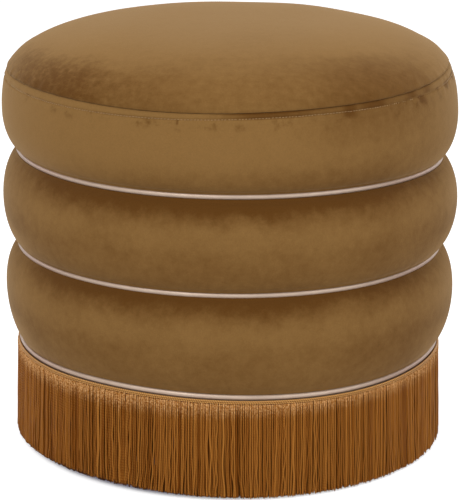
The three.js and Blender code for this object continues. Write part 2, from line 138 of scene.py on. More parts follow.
# Unevenness of hand upholstery. Each joint rises, or below 0 sags, about some angles from the front:
# the angle and the spread in degrees, then the rise in millimetres.
LOWEST_SWAY = [(-32, 22, 1.8), (33, 30, -2.8)]
MIDDLE_SWAY = [(-42, 25, 0.55), (40, 25, -0.7)]
UPPER_SWAY = [(-85, 38, 2.9), (85, 38, -2.5)]
SEAM_SWAY = [(-14, 34, -3.9), (88, 34, 8.6)]
SHOULDER_SWAY = [(-115, 45, -2.6), (125, 25, 0.7)]
STITCH_SWAY = [(-58, 30, -1.9), (14, 34, 1.9)]
FRINGE_END_SWAY = [(-50, 42, 3.6), (-32, 24, 2.4)]
SHOULDER_HEIGHT = SEAM_HEIGHT + 24 * MM
LEVELS = [(BASE_TOP, []), (LOWEST_WAIST + 1.3 * MM, LOWEST_SWAY), (MIDDLE_WAIST, MIDDLE_SWAY),
          (UPPER_WAIST, UPPER_SWAY), (SEAM_HEIGHT, SEAM_SWAY), (SHOULDER_HEIGHT, SHOULDER_SWAY),
          (CROWN_TOP, [])]

# How much fuller each tier is, how far it lies to the right, how far its widest line rises, and how much
# more that rises on the right
SLUMPS = [(LOWEST_WAIST, MIDDLE_WAIST, -1.1 * MM, 0.6 * MM, 4.4 * MM, -1.8 * MM),
          (MIDDLE_WAIST, UPPER_WAIST, 0.6 * MM, 0.9 * MM, 0.5 * MM, 0.5 * MM),
          (UPPER_WAIST, SEAM_HEIGHT, -0.9 * MM, 0.0, -1.5 * MM, -2.5 * MM)]
SEAT_SHIFT = -1.0 * MM


# Meshes


def placed(name, data):
    """A new object in the scene."""
    made = bpy.data.objects.new(name, data)
    bpy.context.scene.collection.objects.link(made)
    return made


def carried(name, data):
    """A mesh object that rides on the body."""
    piece = placed(name, data)
    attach(piece, "root")
    return piece


def mesh_piece(name, points, faces, smooth=True):
    """A piece of the body, from arrays of points and of corner numbers."""
    data = bpy.data.meshes.new(name)
    data.from_pydata(np.asarray(points, float).reshape(-1, 3).tolist(), [], faces)
    data.validate()
    if smooth:
        data.polygons.foreach_set("use_smooth", [True] * len(data.polygons))
    return carried(name, data)


def dress(piece, look, slot, *replaced):
    """Gives a piece its look and hides the CAD nodes that it stands for. The slot is not used."""
    piece.data.materials.clear()
    piece.data.materials.append(look.material)
    if replaced:
        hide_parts(*replaced)
    return piece


def grid_faces(across, around, closed_across=False):
    """Quads of a grid whose points run across first, and which closes round on itself."""
    wide = across if closed_across else across - 1
    i, j = np.meshgrid(np.arange(wide), np.arange(around), indexing="ij")
    i, j = i.ravel(), j.ravel()
    next_i, next_j = (i + 1) % across, (j + 1) % around
    quads = [j * across + i, next_j * across + i, next_j * across + next_i, j * across + next_i]
    return np.stack(quads, 1).tolist()


def swept(radii, heights, angles):
    """Points of a profile swept round the axis, with one row of radii and heights, or one for each angle."""
    radii = np.broadcast_to(radii, (len(angles), np.shape(radii)[-1]))
    heights = np.broadcast_to(heights, radii.shape)
    x = radii * np.sin(angles)[:, None]
    y = -radii * np.cos(angles)[:, None]
    return np.stack([x, y, heights], -1)


def all_round(count=ROUND):
    return np.arange(count) / count * TURN


def turned(name, outline, centre=(0, 0), count=96, bends=()):
    """A closed outline of radius and height, turned round an upright line through the centre."""
    radii, heights = np.asarray(outline, float).T
    points = lifted(swept(radii, heights, all_round(count)), bends) + np.array([*centre, 0])
    return mesh_piece(name, points, grid_faces(len(radii), count, True))


def tube_piece(name, points, smooth=True):
    """Tubes closed at both ends, from an array of tubes, of their rings and of the points of each ring."""
    count, rings, sides, _ = points.shape
    faces = []
    for base in range(0, count * rings * sides, rings * sides):
        last = base + (rings - 1) * sides
        for ring in range(base, last, sides):
            for j in range(sides):
                a, b = ring + j, ring + (j + 1) % sides
                faces.append([a, a + sides, b + sides, b])
        faces.append([base + j for j in range(sides)])
        faces.append([last + j for j in range(sides)][::-1])
    return mesh_piece(name, points, faces, smooth)


def closed_sheet(name, points, inner, thickness):
    """A thin sheet of swept points, closed in the middle, where its profile begins (0) or ends (-1)."""
    around, across, _ = points.shape
    ring = [j * across + inner % across for j in range(around)]
    points = points.reshape(-1, 3)
    middle = [[0, 0, points[ring, 2].mean()]]
    pairs = zip(ring, ring[1:] + ring[:1])
    cap = [[b, a, len(points)] if inner == 0 else [a, b, len(points)] for a, b in pairs]
    piece = mesh_piece(name, np.concatenate([points, middle]), grid_faces(across, around) + cap)
    return thicken(piece, thickness)


def thicken(piece, thickness):
    """Gives a sheet its thickness, inwards from its outer face."""
    skin = piece.modifiers.new("thickness", "SOLIDIFY")
    skin.thickness = thickness
    skin.offset = -1
    return piece


def rounded(outline, size, steps=3):
    """A closed outline with its corners cut back by up to the size and rounded."""
    corners = np.asarray(outline, float)
    result = []
    for k, corner in enumerate(corners):
        before, after = corners[k - 1], corners[(k + 1) % len(corners)]
        start = corner + trimmed(before - corner, size)
        end = corner + trimmed(after - corner, size)
        for t in np.linspace(0, 1, steps + 1):
            result.append((1 - t) ** 2 * start + 2 * t * (1 - t) * corner + t * t * end)
    return np.array(result)


def trimmed(way, size):
    length = np.linalg.norm(way)
    return way / length * min(size, 0.45 * length) if length else way


def evenly(profile, spacing):
    """The same line of points with about the given spacing, closer where it bends."""
    profile = np.asarray(profile, float)
    steps = np.linalg.norm(np.diff(profile, axis=0), axis=1)
    along = np.concatenate([[0], np.cumsum(steps)])
    count = max(8, int(along[-1] / spacing))
    places = np.union1d(np.linspace(0, along[-1], count), along[steps_kept(steps, spacing)])
    return np.stack([np.interp(places, along, profile[:, 0]), np.interp(places, along, profile[:, 1])], 1)


def steps_kept(steps, spacing):
    """Numbers of the points whose steps are short, because they form a bend."""
    short = steps < spacing
    return np.flatnonzero(np.concatenate([short, [False]]) | np.concatenate([[False], short]))


def waves(angles, heights, seed, long, short, count=24):
    """Smooth random waves round the axis, from -1 to 1 or so, with lengths measured at a tier's side."""
    maker = np.random.default_rng(seed)
    total = np.zeros(np.broadcast(angles, heights).shape)
    for _ in range(count):
        times = round(TURN * TIER_RADIUS / math.exp(maker.uniform(math.log(short), math.log(long))))
        lean = maker.normal(0, 1 / long)
        total = total + np.sin(times * angles + TURN * lean * heights + maker.uniform(0, TURN))
    return total * math.sqrt(2 / count) / 1.6


def near(values, place, width):
    """1 at the place and 0 well away from it."""
    return np.exp(-(((values - place) / width) ** 2))


def sway(turn, bends):
    """How far a joint lies above its level line at each angle from the front."""
    rise = 0 * turn
    for middle, spread, height in bends:
        away = (turn - math.radians(middle) + math.pi) % TURN - math.pi
        rise = rise + height * MM * near(away, 0, math.radians(spread))
    return rise


def polar(points):
    """Radius, angle from the front and height of points."""
    x, y, z = np.moveaxis(np.asarray(points, float), -1, 0)
    return np.hypot(x, y), np.arctan2(x, -y), z


def settled(points):
    """Points of the soft layers as the upholsterer leaves them, off level and not quite round."""
    radii, turn, heights = polar(points)
    levels = [level for level, _ in LEVELS]
    lift = 0 * heights
    for number, (_, bends) in enumerate(LEVELS):
        lift = lift + np.interp(heights, levels, np.eye(len(levels))[number]) * sway(turn, bends)
    swollen = np.clip((radii - GROOVE_RADIUS) / TIER_SWELL, 0, 1)
    grown = radii
    loose = np.maximum((radii - DRUM_RADIUS) / (12 * MM), (heights - SEAM_HEIGHT) / (15 * MM)).clip(0, 1)
    aside = SEAT_SHIFT * np.clip((heights - WIDEST) / (SEAM_HEIGHT - WIDEST), 0, 1) * loose
    for floor_level, ceiling, fuller, rightwards, higher, higher_right in SLUMPS:
        place = np.clip((heights - floor_level) / (ceiling - floor_level), 0, 1)
        bulge = 4 * place * (1 - place)
        lift = lift + bulge * (higher + higher_right * np.sin(turn))
        grown = grown + fuller * swollen * (bulge > 0)
        aside = aside + rightwards * swollen * (bulge > 0)
    nipped = 2.1 * near(heights, SEAM_HEIGHT + 10 * MM, 9 * MM) * np.sin(turn) ** 2
    nipped = nipped + 3.4 * near(heights, SEAM_HEIGHT + 3 * MM, 13 * MM) * near(turn, math.pi / 2, 0.6)
    x = (grown - nipped * MM) * np.sin(turn) + aside
    return np.stack([x, -grown * np.cos(turn), heights + lift * loose], -1)


def lifted(points, bends):
    """Points that move up and down with one joint."""
    _, turn, _ = polar(points)
    return points + np.stack([0 * turn, 0 * turn, sway(turn, bends)], -1)


# Profiles of the velvet, each a line of radius and height from one hidden edge to the other


def off(radius, height, steps, side=1):
    """Points at some millimetres outwards and upwards, or for side -1 downwards, from a joint."""
    return [(radius + out * MM, height + side * up * MM) for out, up in steps]


def lip(height, side):
    """The velvet's way out over a piping (side 1) or under it (side -1), from the groove outwards."""
    reach = BEAD_RADIUS + 0.1 * MM
    turns = np.radians([160, 140, 120, 100, 80, 62])
    bead = [(RING_RADIUS + reach * math.cos(t), height + side * reach * math.sin(t)) for t in turns]
    rolled = [(1.7, 2.32), (2.1, 2.6), (2.5, 3.15), (3.0, 4.0), (3.75, 5.05)]
    return [*bead, *off(RING_RADIUS, height, rolled, side)]


def groove_run(height, side):
    """The velvet's allowance between the flange and the foam."""
    drop = side * ALLOWANCE_GAP
    return [(LIP_RADIUS + step * ALLOWANCE_STEP, height + drop) for step in range(4)]


def out_of_groove(height):
    return [*groove_run(height, 1), *lip(height, 1)]


def into_groove(height):
    return [*lip(height, -1)[::-1], *groove_run(height, -1)[::-1]]


def tier_side(low, high):
    """The swelling side between the two lips."""
    middle, rise = (low + high) / 2, (high - low) / 2
    heights = middle + rise * np.sin(np.linspace(-1, 1, 30) * math.asin(1 - LIP_HEIGHT / rise))
    radius = GROOVE_RADIUS + TIER_SWELL * np.sqrt(1 - ((heights - middle) / rise) ** 2)
    return list(zip(radius, heights))


def middle_profile():
    side = tier_side(MIDDLE_WAIST, UPPER_WAIST)
    return [*out_of_groove(MIDDLE_WAIST), *side, *into_groove(UPPER_WAIST)]


def bottom_profile():
    """The bottom band's hem runs down behind the lowest piping."""
    heights = np.linspace(HEM_EDGE, LOWEST_WAIST - 0.5 * MM, 7)
    hem = [(RING_RADIUS - HEM_GAP, height) for height in heights]
    side = tier_side(LOWEST_WAIST, MIDDLE_WAIST)
    return [*hem, *lip(LOWEST_WAIST, 1), *side, *into_groove(MIDDLE_WAIST)]


def top_band_side():
    """The side swells up to its widest line and then leans in to the seam."""
    lower = np.linspace(UPPER_WAIST + LIP_HEIGHT, WIDEST, 15)
    rise = WIDEST - UPPER_WAIST
    radius = GROOVE_RADIUS + TIER_SWELL * np.sqrt(1 - ((lower - WIDEST) / rise) ** 2)
    plain = np.linspace(WIDEST, STITCH_LINE - 6 * MM, 16)[1:]
    drawn_in = np.linspace(STITCH_LINE - 5 * MM, STITCH_LINE + 4.6 * MM, 21)
    upper = [(band_side_radius(height), height) for height in (*plain, *drawn_in)]
    return [*zip(radius, lower), *upper]


def top_band_profile():
    curl = [(0.2, -1.3), (-0.15, -0.7), (-0.8, -0.25), (-2.0, -0.2), (-2.6, -1.0), (-2.75, -4), (-2.8, -8)]
    return [*out_of_groove(UPPER_WAIST), *top_band_side(), *off(SEAM_RADIUS, SEAM_HEIGHT, curl)]


def crown_height(radius):
    """Height of the seat's velvet at a radius."""
    share = np.clip(radius / SEAM_RADIUS, 0, 1) ** CROWN_FLATNESS
    return SEAM_HEIGHT + (CROWN_TOP - SEAM_HEIGHT) * (1 - share) ** (1 / CROWN_FULLNESS)


def seat_profile():
    """From the seam, where the velvet turns in, over the steep edge to the middle."""
    curl = [(-2.1, -0.05), (-1.2, -0.05), (-0.6, 0.1), (-0.15, 0.75)]
    edge = off(SEAM_RADIUS, SEAM_HEIGHT, curl)
    rises = np.linspace(0.055, 0.62, 16) * (CROWN_TOP - SEAM_HEIGHT)
    share = 1 - (rises / (CROWN_TOP - SEAM_HEIGHT)) ** CROWN_FULLNESS
    steep = list(zip(SEAM_RADIUS * share ** (1 / CROWN_FLATNESS), SEAM_HEIGHT + rises))
    radii = np.linspace(steep[-1][0] - 3 * MM, 6 * MM, 44)
    return [*edge, *steep, *zip(radii, crown_height(radii))]


# Velvet


def puckers(angles, heights, line, depth, reach, seed):
    """Small gathers that a row of stitches or a piping pulls into the velvet."""
    return depth * near(heights, line, reach) * waves(angles, heights * 0, seed, 26 * MM, 8 * MM, 40)


def level(angles, heights):
    return 0 * angles + 0 * heights


def stitched_in(angles, heights):
    """The top band is drawn in along its top-stitching and padded by the seam's allowance above it."""
    line = STITCH_LINE + sway(angles, STITCH_SWAY)
    return 0.3 * MM * near(heights, line + 3 * MM, 1.8 * MM) - 0.8 * MM * near(heights, line, 1.0 * MM)


def velvet_shell(name, profile, spacing, seed, gathers, drawn=level):
    """A velvet cover with its small unevenness, as one thin skin."""
    radii, heights = evenly(profile, spacing).T
    angles = all_round()
    turn = angles[:, None]
    shown = np.clip((radii - RING_RADIUS) / (6 * MM), 0, 1)
    push = shown * 0.25 * MM * waves(turn, heights, seed, 420 * MM, 90 * MM) + drawn(turn, heights)
    for line, depth, reach in gathers:
        push = push + shown * puckers(turn, heights, line, depth, reach, seed + 1)
    points = settled(swept(radii + push, heights, angles))
    piece = mesh_piece(name, points, grid_faces(len(radii), len(angles)))
    return thicken(piece, VELVET_THICKNESS)


def band_gathers(low, high):
    return [(line, GATHER_DEPTH, GATHER_REACH) for line in (low + GATHER_AWAY, high - GATHER_AWAY)]


def seat_shell():
    """The crowned seat, closed by a small disc of velvet in the middle."""
    radii, heights = evenly(seat_profile(), 4.5 * MM).T
    angles = all_round()
    turn = angles[:, None]
    flat = np.clip((SEAM_RADIUS - radii) / (60 * MM), 0, 1)
    x, y = radii * np.sin(turn), -radii * np.cos(turn)
    dimples = 0.5 * np.sin(31 * x + 2) * np.sin(27 * y + 1) + 0.3 * np.sin(57 * x - 23 * y)
    heights = heights + flat * 0.9 * MM * dimples
    push = puckers(turn, heights, SEAM_HEIGHT + 3 * MM, 0.3 * MM, GATHER_REACH, 11)
    points = settled(swept(radii + push, heights, angles))
    return closed_sheet("seat_velvet", points, -1, VELVET_THICKNESS)


def band_side_radius(height):
    """Radius of the top band's side near the seam."""
    lean = (height - WIDEST) / (SEAM_HEIGHT - WIDEST)
    return TIER_RADIUS - (TIER_RADIUS - SEAM_RADIUS) * lean**2


def top_stitches():
    """Thread stitches all round, each a small arched bead that dips into the velvet at both ends."""
    count = round(TURN * SEAM_RADIUS / STITCH_PITCH)
    maker = np.random.default_rng(3)
    rings, sides = 7, 6
    along = np.linspace(-1, 1, rings)
    around = np.arange(sides) / sides * TURN
    girth = 0.34 * MM * np.sqrt(np.clip(1 - along**4, 0.02, 1))
    points = []
    for k in range(count):
        turn = (k + maker.normal(0, 0.05)) / count * TURN
        tilt = maker.normal(0.05, 0.05)
        line = STITCH_LINE + sway(turn, STITCH_SWAY)
        radius = band_side_radius(line) - 0.55 * MM
        height = line + maker.normal(0, 0.08) * MM
        reach = 0.37 * STITCH_PITCH * along
        sunk = sway(turn, [(-85, 35, 0.8), (50, 20, 0.75)])
        arch = 0.5 * MM * (1 - along**2) - 0.2 * MM - sunk
        out = radius + arch[:, None] + girth[:, None] * np.cos(around)
        up = height + (reach * tilt)[:, None] + girth[:, None] * np.sin(around)
        angle = turn + reach[:, None] / radius + 0 * around
        points.append(np.stack([out * np.sin(angle), -out * np.cos(angle), up], -1))
    return tube_piece("top_stitching", settled(np.array(points)))


# Piping


def piping_outline(height, down):
    """A smooth bead with its flange, which runs inwards or, on the lowest piping, down."""
    start = math.asin(FLANGE_HALF / BEAD_RADIUS)
    turns = np.linspace(start, TURN - start, 29)
    bead = np.stack([BEAD_RADIUS * np.cos(turns), BEAD_RADIUS * np.sin(turns)], 1)
    flange = np.array([(FLANGE_WIDTH, -FLANGE_HALF), (FLANGE_WIDTH, FLANGE_HALF)])
    outline = np.concatenate([bead, flange])
    along, across = ((0, -1), (1, 0)) if down else ((-1, 0), (0, -1))
    laid = outline[:, :1] * np.array(along) + outline[:, 1:] * np.array(across)
    return laid + np.array([RING_RADIUS, height])


# Fringe


def wander(place, heights, seed, longest, shortest, strain, count=20):
    """How far sideways the strands of a fringe drift, so that they gather in places and part in others."""
    maker = np.random.default_rng(seed)
    total = 0
    for _ in range(count):
        length = math.exp(maker.uniform(math.log(shortest), math.log(longest))) * MM
        times = round(TURN * RING_RADIUS / length)
        lean = maker.normal(0, 4)
        phase = times * place / RING_RADIUS + lean * heights * TURN + maker.uniform(0, TURN)
        total = total + length * np.sin(phase)
    return total * strain / TURN * math.sqrt(2 / count)


def strand_points(turns, layer, gathered, size, seed):
    """Points of a row of hanging strands: out over the heading at the top, then down to uneven ends."""
    maker = np.random.default_rng(seed)
    count = len(turns)
    share = np.linspace(0, 1, STRAND_RINGS)
    down = share - 0.1 * np.sin(TURN * share)
    rise = sway(turns, FRINGE_END_SWAY) * (0.45 + 0.55 * gathered)
    end = 1.3 * MM + np.abs(maker.normal(0, 0.9, count)) * MM + rise
    top = STRAND_TOP + maker.normal(0, 0.2, count) * MM + sway(turns, LOWEST_SWAY)
    heights = top[:, None] + (end - top)[:, None] * down
    free = np.clip((top[:, None] - 6 * MM - heights) / (STRAND_TOP - FRINGE_END), 0, 1)
    place = turns[:, None] * RING_RADIUS
    turn = maker.uniform(0, TURN, (count, 1))
    own = maker.normal(0, 0.4, (count, 1)) * np.sin(heights / (9 * MM) + turn) * free**0.5
    own = own + maker.normal(0, 0.3, (count, 1)) * np.sin(heights / (4 * MM) + 3 * turn) * free**0.4
    own = own + maker.normal(0, 1.0, (count, 1)) * free**5
    own = own * gathered * MM
    parted = wander(place, heights, seed // 10, 30, 7, 0.16 * gathered) * free**0.7
    swept_aside = wander(place, 0 * heights, 5, 160, 60, 0.13) * gathered * free**3
    tuck = -1.2 * MM * (down == 0)
    bow = 0.3 * MM * waves(turns[:, None], heights, seed + 5, 60 * MM, 7 * MM) * free**0.5
    bow = bow + maker.normal(0, 0.35, (count, 1)) * MM * gathered
    splay = (2.3 * MM + sway(turns[:, None], [(40, 55, 1.6)])) * free
    radii = HEADING_RADIUS - 1.2 * MM + layer + tuck + bow + splay
    angles = turns[:, None] + (parted + swept_aside + own) / RING_RADIUS
    return skinned(radii, angles, heights, size)


def skinned(radii, angles, heights, size):
    """Rings of points round each strand's line, with rounded ends."""
    count, rings = radii.shape
    maker = np.random.default_rng(count)
    girth = np.full((count, rings), size * STRAND_RADIUS) * maker.uniform(0.86, 1.1, (count, 1))
    girth *= 1 + 0.25 * np.clip((heights - STRAND_TOP + 9 * MM) / (4 * MM), 0, 1)
    girth[:, 0] *= 0.75
    girth[:, -1] *= 0.6
    around = (np.arange(STRAND_SIDES) + 0.5) / STRAND_SIDES * TURN
    out = girth[..., None] * np.cos(around)
    side = girth[..., None] * np.sin(around)
    x = (radii[..., None] + out) * np.sin(angles[..., None]) + side * np.cos(angles[..., None])
    y = -(radii[..., None] + out) * np.cos(angles[..., None]) + side * np.sin(angles[..., None])
    z = np.broadcast_to(heights[..., None], x.shape)
    return np.stack([x, y, z], -1)


def strand_row(name, quarter, layer, gathered, size, offset, seed):
    """One layer of the fringe over one quarter of the way round, counted from the front towards +X."""
    count = round(TURN * HEADING_RADIUS / STRAND_PITCH / QUARTERS)
    uneven = np.random.default_rng(seed + 7).normal(0, 0.03 + 0.1 * gathered, count)
    turns = (quarter + (np.arange(count) + offset + uneven) / count) * TURN / QUARTERS
    piece = tube_piece(name, strand_points(turns, layer, gathered, size, seed))
    tones = np.random.default_rng(seed + 2).normal(0, 1, count)
    shade = piece.data.attributes.new("tone", "FLOAT", "POINT")
    shade.data.foreach_set("value", np.repeat(tones, STRAND_RINGS * STRAND_SIDES).astype(np.float32))
    return piece


def gimp(name, radius, drop, size):
    """A corded edge along the heading, under the lowest piping."""
    centre = np.array([radius, HEADING_TOP - drop])
    turns = np.arange(GIMP_SIDES) / GIMP_SIDES * TURN
    outline = centre + size * np.stack([np.cos(turns), np.sin(turns)], 1)
    return turned(name, outline, count=ROUND, bends=LOWEST_SWAY)


def heading():
    """The woven tape that the strands hang from."""
    inner = HEADING_RADIUS - 3.5 * MM
    outer = HEADING_RADIUS - 1.9 * MM
    low, top = HEADING_TOP - HEADING_HEIGHT, HEADING_TOP - 0.4 * MM
    box = [(inner, low), (outer, low), (outer, top), (inner, top)]
    return turned("fringe_heading", rounded(box, 0.5 * MM), count=ROUND, bends=LOWEST_SWAY)


# Underside


def foot(number):
    """A turned foot: a taper, a quirk and a rounded collar."""
    low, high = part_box(f"foot_{number}")
    centre = (low + high) / 2
    collar, top = high.z - FOOT_COLLAR, FOOT_TOP_RADIUS
    outline = [
        (AXIS_GAP, low.z),
        (FOOT_END_RADIUS - 1.2 * MM, low.z),
        (FOOT_END_RADIUS, low.z + 1.2 * MM),
        (top - 3.5 * MM, collar - 5 * MM),
        (top - 3.2 * MM, collar - 2 * MM),
        (top - 1.2 * MM, collar - 0.5 * MM),
        (top, collar + 2 * MM),
        (top, high.z - 1.5 * MM),
        (top - 1.2 * MM, high.z),
        (AXIS_GAP, high.z),
    ]
    return turned(f"turned_foot_{number}", rounded(outline, 1.2 * MM), centre[:2], 64)


def glide(number):
    """A plastic button with a nail on top."""
    low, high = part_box(f"glide_{number}")
    centre = (low + high) / 2
    button = low.z + GLIDE_THICKNESS
    outline = [
        (AXIS_GAP, low.z),
        (GLIDE_RADIUS - 1.2 * MM, low.z),
        (GLIDE_RADIUS, low.z + 1.4 * MM),
        (GLIDE_RADIUS, button),
        (NAIL_RADIUS, button),
        (NAIL_RADIUS, high.z - 3 * MM),
        (AXIS_GAP, high.z),
    ]
    return turned(f"nail_on_glide_{number}", rounded(outline, 0.6 * MM), centre[:2], 48)


def dust_cloth():
    """Black cambric pulled tight under the base and gathered a little at each staple."""
    low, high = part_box("dust_cover")
    radius = high.x
    rings = np.concatenate([np.linspace(0.01, 0.9, 30), np.linspace(0.92, 1, 7)]) * radius
    angles = all_round(240)
    turn = angles[:, None]
    edge = np.clip((rings - 0.6 * radius) / (0.4 * radius), 0, 1) ** 2
    sag = -0.9 * MM * (1 - (rings / radius) ** 2)
    ripple = 0.45 * MM * edge * np.sin(STAPLES * turn)
    ripple = ripple + 0.3 * MM * edge * waves(turn, rings * 0, 21, 90 * MM, 30 * MM)
    heights = low.z + sag + ripple - 0.1 * MM
    piece = closed_sheet("dust_cover_cloth", swept(rings, heights, angles), 0, 0.4 * MM)
    return piece


def staples():
    """Staples through the dust cover, each a flattened wire crown with two short bends."""
    low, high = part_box("dust_cover")
    maker = np.random.default_rng(17)
    points = []
    reach = np.array([-5.2, -5.0, -4.2, 4.2, 5.0, 5.2]) * MM
    drop = np.array([1.2, 0.15, -0.35, -0.35, 0.15, 1.2]) * MM
    corners = np.array([(-0.6, -0.25), (0.6, -0.25), (0.6, 0.25), (-0.6, 0.25)]) * MM
    for k in range(STAPLES):
        turn = (k + maker.normal(0, 0.06)) / STAPLES * TURN
        lean = maker.normal(0, 0.12)
        centre = high.x - 5 * MM + maker.normal(0, 0.5) * MM
        out = centre + reach[:, None] * math.sin(lean) + corners[:, 0]
        angle = turn + (reach[:, None] * math.cos(lean) + 0 * corners[:, 0]) / centre
        up = low.z - 0.2 * MM + drop[:, None] + corners[:, 1]
        points.append(np.stack([out * np.sin(angle), -out * np.cos(angle), up], -1))
    return tube_piece("dust_cover_staples", np.array(points), smooth=False)


# Materials


class Socket:
    """An output of a material's node tree, with Python's operators for its sums."""

    def __init__(self, look, output):
        self.look = look
        self.output = output

    def sum(self, operation, *others):
        return self.look.sum(operation, self, *others)

    def __add__(self, other):
        return self.sum("ADD", other)

    def __sub__(self, other):
        return self.sum("SUBTRACT", other)

    def __mul__(self, other):
        return self.sum("MULTIPLY", other)

    def __pow__(self, other):
        return self.sum("POWER", other)

    def __rsub__(self, other):
        return self.look.sum("SUBTRACT", other, self)

    def __neg__(self):
        return self * -1

    __radd__ = __add__
    __rmul__ = __mul__

    def clamped(self):
        return self.look.node("ShaderNodeClamp", {}, {"Value": self})["Result"]


class Outputs:
    """A node's outputs by name."""

    def __init__(self, look, made):
        self.look = look
        self.made = made

    def __getitem__(self, name):
        return Socket(self.look, self.made.outputs[name])


class Look:
    """A material built of nodes round one Principled shader."""

    def __init__(self, name, **constants):
        self.material = bpy.data.materials.new(name)
        self.material.use_nodes = True
        self.tree = self.material.node_tree
        self.shader = self.tree.nodes["Principled BSDF"]
        for socket, value in constants.items():
            self.shader.inputs[socket.replace("_", " ")].default_value = value

    def node(self, kind, settings, inputs):
        """A node of the given kind, with its settings, and with its inputs set to values or linked."""
        made = self.tree.nodes.new(kind)
        for name, value in settings.items():
            setattr(made, name, value)
        for name, value in inputs.items():
            self.put(made.inputs[name], value)
        return Outputs(self, made)

    def put(self, place, value):
        if isinstance(value, Socket):
            self.tree.links.new(value.output, place)
        else:
            place.default_value = value

    def sum(self, operation, *values):
        inputs = dict(enumerate(values))
        return self.node("ShaderNodeMath", {"operation": operation}, inputs)["Value"]

    def place(self):
        """The point on the surface, in metres, in the object's own frame."""
        return self.node("ShaderNodeTexCoord", {}, {})["Object"]

    def parts(self, vector):
        """The three parts of a vector."""
        split = self.node("ShaderNodeSeparateXYZ", {}, {"Vector": vector})
        return split["X"], split["Y"], split["Z"]

    def joined(self, x, y, z):
        return self.node("ShaderNodeCombineXYZ", {}, {"X": x, "Y": y, "Z": z})["Vector"]

    def noise(self, vector, size, detail=2.0, roughness=0.5):
        """Smooth noise from 0 to 1, with patches of about the size in metres."""
        inputs = {"Vector": vector, "Scale": 1 / size, "Detail": detail, "Roughness": roughness}
        return self.node("ShaderNodeTexNoise", {}, inputs)["Fac"]

    def cells(self, vector, size):
        """How far a point lies from the middle of the nearest of many cells of about the size."""
        return self.node("ShaderNodeTexVoronoi", {}, {"Vector": vector, "Scale": 1 / size})["Distance"]

    def wave(self, value):
        """A wave from 0 to 1."""
        return self.sum("SINE", value) * 0.5 + 0.5

    def ramp(self, value, start, end, low=0.0, high=1.0):
        """low below start, high above end and a smooth step between them."""
        inputs = {"Value": value, "From Min": start, "From Max": end, "To Min": low, "To Max": high}
        settings = {"interpolation_type": "SMOOTHSTEP"}
        return self.node("ShaderNodeMapRange", settings, inputs)["Result"]

    def mix(self, share, first, second, blend="MIX"):
        """first where share is 0 and second where it is 1, as colours."""
        made = self.tree.nodes.new("ShaderNodeMix")
        made.data_type = "RGBA"
        made.blend_type = blend
        colours = [value if isinstance(value, Socket) else (*value, 1.0) for value in (first, second)]
        for number, value in zip((0, 6, 7), (share, *colours)):
            self.put(made.inputs[number], value)
        return Socket(self, made.outputs[2])

    def feed(self, socket, value):
        """Sets or links one of the shader's own sockets."""
        self.put(self.shader.inputs[socket], value)

    def finish(self, colour, roughness, height, depth):
        """Colour, roughness, and a bump whose height runs from 0 to 1 over the depth in metres."""
        inputs = {"Height": height, "Distance": depth, "Strength": 1.0}
        self.feed("Base Color", colour)
        self.feed("Roughness", roughness)
        self.feed("Normal", self.node("ShaderNodeBump", {}, inputs)["Normal"])
        return self


# Tones of the velvet from pale to deep. The shade masks mix them into painted shade and painted light; the
# noise patches mix them into random tone.
PILE_DEEP = (0.114, 0.046, 0.009)
PILE_MID = (0.200, 0.101, 0.028)
PILE_PALE = (0.264, 0.143, 0.047)


def velvet(name, shade, joined=True):
    """Cut velvet with brushed patches and a fine grain. shade gives painted shade, from 0 to 1, which
    darkens the pile from its pale tone towards its deep one where the tuffet lies in shade. A band's ends
    are joined at the back."""
    look = Look(name, Sheen_Weight=0.24, Sheen_Roughness=0.42, Specular_IOR_Level=0.08)
    look.shader.inputs["Sheen Tint"].default_value = (1.0, 0.77, 0.50, 1.0)
    look.shader.inputs["Specular Tint"].default_value = (1.0, 0.74, 0.42, 1.0)
    place = look.place()
    _, angle, _ = around_axis(place)
    cloud = look.noise(place, 60 * MM, 3.0, 0.55)
    mottle = look.noise(place, 8 * MM, 4.0, 0.65)
    grain = look.noise(place, 1.3 * MM, 2.0)
    join = look.ramp(look.sum("ABSOLUTE", angle), math.pi - 0.007, math.pi - 0.001) if joined else 0.0
    # Painted shade from the shade mask, plus random mottle, patches and the dark back join.
    dark = (shade(look, place) + (mottle - 0.5) * 0.30 + (cloud - 0.5) * 0.30 + join).clamped()
    body = look.mix(dark, PILE_PALE, PILE_MID)
    deep = look.mix(look.ramp(dark, 0.35, 1.0), body, PILE_DEEP)
    colour = look.mix(0.30, deep, look.mix(grain, (0.55, 0.55, 0.55), (1.45, 1.45, 1.45)), "MULTIPLY")
    return look.finish(colour, 0.82 + mottle * 0.16, grain * 0.6 + mottle * 0.4 - join * 3.0, 0.25 * MM)


def around_axis(place):
    """Radius, angle from the front and height of a point."""
    x, y, z = place.look.parts(place)
    radius = (x * x + y * y).sum("SQRT")
    angle = x.sum("ARCTAN2", -y)
    return radius, angle, z


def ragged(place, amount):
    """A patchy shift of an edge, in metres either way."""
    return (place.look.noise(place, 24 * MM, 4.0, 0.7) - 0.5) * amount


def sector(angle, middle, spread):
    """1 at an angle from the front, in degrees, and 0 well away from it."""
    away = (angle - math.radians(middle)) * (1 / math.radians(spread))
    return (-(away * away)).sum("EXPONENT")


def sectors(angle, rows):
    """The sum of several sectors, each given by its angle, its spread and its strength."""
    return sum(sector(angle, middle, spread) * strength for middle, spread, strength in rows)


def facing(angle, full, none):
    """1 up to an angle on either side of the front, in degrees, and 0 beyond a wider one."""
    return angle.look.ramp(angle.sum("ABSOLUTE"), math.radians(full), math.radians(none), 1.0, 0.0)


def beside(angle):
    """1 well round to either side of the front, and 0 in front."""
    return 1 - facing(angle, 52, 76)


